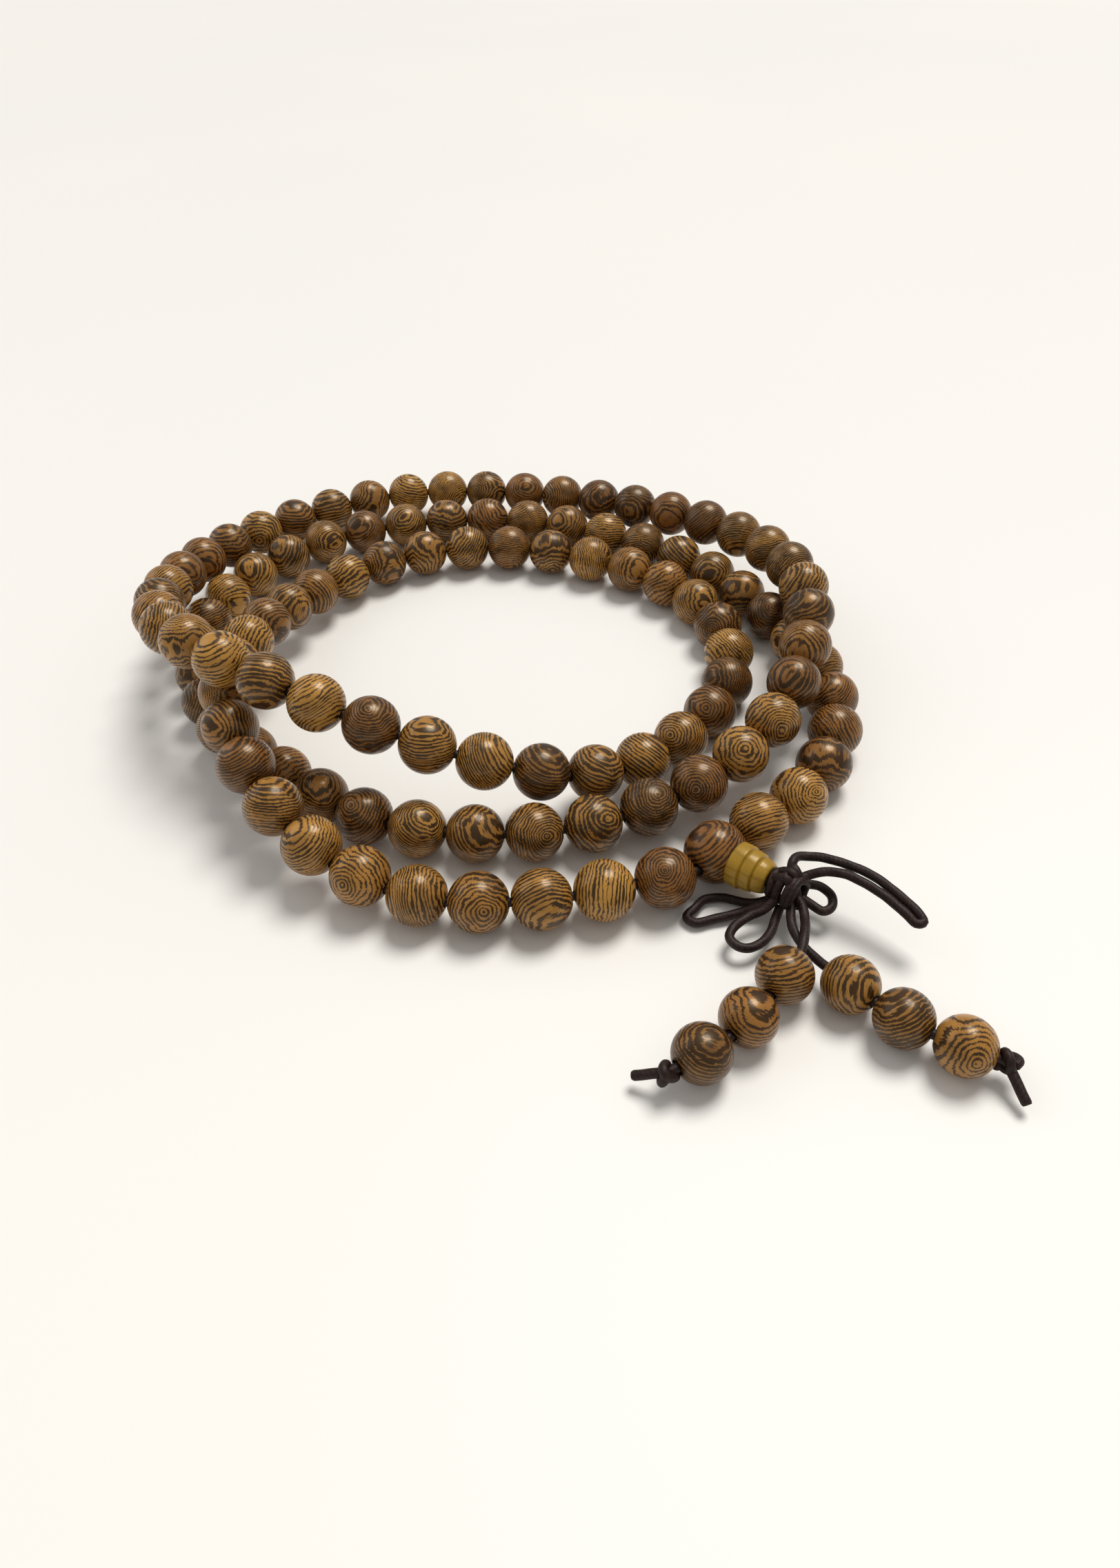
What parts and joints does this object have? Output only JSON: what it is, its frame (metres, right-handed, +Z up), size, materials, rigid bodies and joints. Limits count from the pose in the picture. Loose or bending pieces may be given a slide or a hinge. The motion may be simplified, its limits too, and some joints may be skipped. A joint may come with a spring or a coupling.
{
  "type": "mala prayer beads",
  "caption": "Closed string of drilled wooden beads laid in three turns, with a larger guru bead, tiered tower bead, bow knot and two tails of smaller counter beads",
  "frame": {"origin": "on the table, under the middle of the object's outline with its tails", "axes": "+Z up from the table; +Y from the guru side towards the far side of the turns; +X to the right"},
  "size_m": [0.117, 0.1462, 0.024],
  "materials": {
    "bead_wood": "polished striped dark hardwood, satin",
    "tower_wood": "polished striped olive-yellow wood, satin",
    "cord": "waxed dark brown cord"
  },
  "bodies": {
    "strand": {"stringing_cord": "cord", "beads_005_008": "bead_wood", "beads_009_012": "bead_wood", "beads_013_016": "bead_wood", "beads_017_020": "bead_wood", "beads_021_024": "bead_wood", "beads_025_028": "bead_wood", "beads_029_032": "bead_wood", "beads_037_040": "bead_wood", "beads_041_044": "bead_wood", "beads_045_048": "bead_wood", "beads_049_052": "bead_wood", "beads_053_056": "bead_wood", "beads_057_060": "bead_wood", "beads_061_064": "bead_wood", "beads_065_068": "bead_wood", "beads_069_072": "bead_wood", "beads_073_076": "bead_wood", "beads_077_080": "bead_wood", "beads_081_084": "bead_wood", "beads_085_088": "bead_wood", "beads_089_092": "bead_wood", "beads_093_096": "bead_wood", "beads_097_100": "bead_wood"},
    "bead_001": {"bead_001": "bead_wood"},
    "bead_002": {"bead_002": "bead_wood"},
    "bead_003": {"bead_003": "bead_wood"},
    "bead_004": {"bead_004": "bead_wood"},
    "bead_033": {"bead_033": "bead_wood"},
    "bead_034": {"bead_034": "bead_wood"},
    "bead_035": {"bead_035": "bead_wood"},
    "bead_036": {"bead_036": "bead_wood"},
    "bead_101": {"bead_101": "bead_wood"},
    "bead_102": {"bead_102": "bead_wood"},
    "bead_103": {"bead_103": "bead_wood"},
    "bead_104": {"bead_104": "bead_wood"},
    "bead_105": {"bead_105": "bead_wood"},
    "bead_106": {"bead_106": "bead_wood"},
    "bead_107": {"bead_107": "bead_wood"},
    "bead_108": {"bead_108": "bead_wood"},
    "pendant": {"guru_bead": "bead_wood", "pendant_cord": "cord", "bow_knot": "cord", "long_left_loop": "cord", "low_left_loop": "cord", "small_right_loop": "cord", "long_right_loop": "cord"},
    "tower": {"tower_bead": "tower_wood"},
    "left_tail": {"left_tail_cord": "cord", "left_end_knot": "cord"},
    "right_tail": {"right_tail_cord": "cord", "right_end_knot": "cord"},
    "left_counter_1": {"left_counter_1": "bead_wood"},
    "left_counter_2": {"left_counter_2": "bead_wood"},
    "left_counter_3": {"left_counter_3": "bead_wood"},
    "right_counter_1": {"right_counter_1": "bead_wood"},
    "right_counter_2": {"right_counter_2": "bead_wood"},
    "right_counter_3": {"right_counter_3": "bead_wood"}
  },
  "joints": [
    {"name": "bead_001_spin", "type": "hinge", "parent": "strand", "child": "bead_001", "pos_m": [0.03556, -0.03013, 0.00412], "axis": [0.8693, 0.4938, -0.0196], "continuous": true},
    {"name": "bead_002_spin", "type": "hinge", "parent": "strand", "child": "bead_002", "pos_m": [0.04187, -0.02529, 0.00401], "axis": [0.7022, 0.712, -0.0085], "continuous": true},
    {"name": "bead_003_spin", "type": "hinge", "parent": "strand", "child": "bead_003", "pos_m": [0.04672, -0.01898, 0.00398], "axis": [0.508, 0.8614, 0.0016], "continuous": true},
    {"name": "bead_004_spin", "type": "hinge", "parent": "strand", "child": "bead_004", "pos_m": [0.04992, -0.01168, 0.00399], "axis": [0.2893, 0.9573, 0.0009], "continuous": true},
    {"name": "bead_033_spin", "type": "hinge", "parent": "strand", "child": "bead_033", "pos_m": [-0.0106, -0.02833, 0.00413], "axis": [0.9704, -0.2401, -0.0244], "continuous": true},
    {"name": "bead_034_spin", "type": "hinge", "parent": "strand", "child": "bead_034", "pos_m": [-0.00269, -0.02973, 0.00403], "axis": [0.9942, -0.1078, -0.0008], "continuous": true},
    {"name": "bead_035_spin", "type": "hinge", "parent": "strand", "child": "bead_035", "pos_m": [0.00532, -0.03005, 0.00412], "axis": [0.9994, 0.0264, 0.0233], "continuous": true},
    {"name": "bead_036_spin", "type": "hinge", "parent": "strand", "child": "bead_036", "pos_m": [0.01329, -0.0292, 0.00442], "axis": [0.9813, 0.185, 0.0524], "continuous": true},
    {"name": "bead_101_spin", "type": "hinge", "parent": "strand", "child": "bead_101", "pos_m": [-0.02915, -0.02802, 0.00919], "axis": [0.6016, -0.7406, -0.2993], "continuous": true},
    {"name": "bead_102_spin", "type": "hinge", "parent": "strand", "child": "bead_102", "pos_m": [-0.02371, -0.03344, 0.00699], "axis": [0.7529, -0.6086, -0.2505], "continuous": true},
    {"name": "bead_103_spin", "type": "hinge", "parent": "strand", "child": "bead_103", "pos_m": [-0.01717, -0.03767, 0.00524], "axis": [0.8764, -0.4448, -0.1846], "continuous": true},
    {"name": "bead_104_spin", "type": "hinge", "parent": "strand", "child": "bead_104", "pos_m": [-0.0098, -0.04057, 0.00417], "axis": [0.9577, -0.2757, -0.0821], "continuous": true},
    {"name": "bead_105_spin", "type": "hinge", "parent": "strand", "child": "bead_105", "pos_m": [-0.00195, -0.04204, 0.00396], "axis": [0.9954, -0.0907, 0.03], "continuous": true},
    {"name": "bead_106_spin", "type": "hinge", "parent": "strand", "child": "bead_106", "pos_m": [0.00606, -0.0422, 0.00414], "axis": [0.9985, 0.0515, 0.0163], "continuous": true},
    {"name": "bead_107_spin", "type": "hinge", "parent": "strand", "child": "bead_107", "pos_m": [0.01403, -0.04123, 0.00421], "axis": [0.9819, 0.1894, -0.0001], "continuous": true},
    {"name": "bead_108_spin", "type": "hinge", "parent": "strand", "child": "bead_108", "pos_m": [0.02192, -0.03962, 0.0042], "axis": [0.9778, 0.2096, -0.001], "continuous": true},
    {"name": "pendant_swing", "type": "hinge", "parent": "strand", "child": "pendant", "pos_m": [0.02896, -0.03545, 0.0042], "axis": [-0.682, -0.7314, 0], "range_deg": [0, 100]},
    {"name": "tower_spin", "type": "hinge", "parent": "pendant", "child": "tower", "pos_m": [0.02896, -0.03545, 0.0042], "axis": [0.7429, -0.6689, 0.0262], "continuous": true},
    {"name": "left_tail_swing", "type": "hinge", "parent": "pendant", "child": "left_tail", "pos_m": [0.03737, -0.05016, 0.0036], "axis": [0, 0, 1], "range_deg": [-25, 0]},
    {"name": "right_tail_swing", "type": "hinge", "parent": "pendant", "child": "right_tail", "pos_m": [0.03737, -0.05016, 0.0036], "axis": [0, 0, 1], "range_deg": [0, 35]},
    {"name": "left_counter_1_spin", "type": "hinge", "parent": "left_tail", "child": "left_counter_1", "pos_m": [0.03427, -0.05545, 0.00376], "axis": [-0.6453, -0.7592, -0.0852], "continuous": true},
    {"name": "left_counter_2_spin", "type": "hinge", "parent": "left_tail", "child": "left_counter_2", "pos_m": [0.02918, -0.06091, 0.00347], "axis": [-0.7147, -0.6993, 0.0083], "continuous": true},
    {"name": "left_counter_3_spin", "type": "hinge", "parent": "left_tail", "child": "left_counter_3", "pos_m": [0.02328, -0.06536, 0.00353], "axis": [-0.8689, -0.495, 0.009], "continuous": true},
    {"name": "right_counter_1_spin", "type": "hinge", "parent": "right_tail", "child": "right_counter_1", "pos_m": [0.0417, -0.05697, 0.00337], "axis": [0.6103, -0.7909, 0.0444], "continuous": true},
    {"name": "right_counter_2_spin", "type": "hinge", "parent": "right_tail", "child": "right_counter_2", "pos_m": [0.04649, -0.06206, 0.00351], "axis": [0.7529, -0.6581, -0.0038], "continuous": true},
    {"name": "right_counter_3_spin", "type": "hinge", "parent": "right_tail", "child": "right_counter_3", "pos_m": [0.05225, -0.06597, 0.00343], "axis": [0.8898, -0.456, -0.0191], "continuous": true}
  ]
}
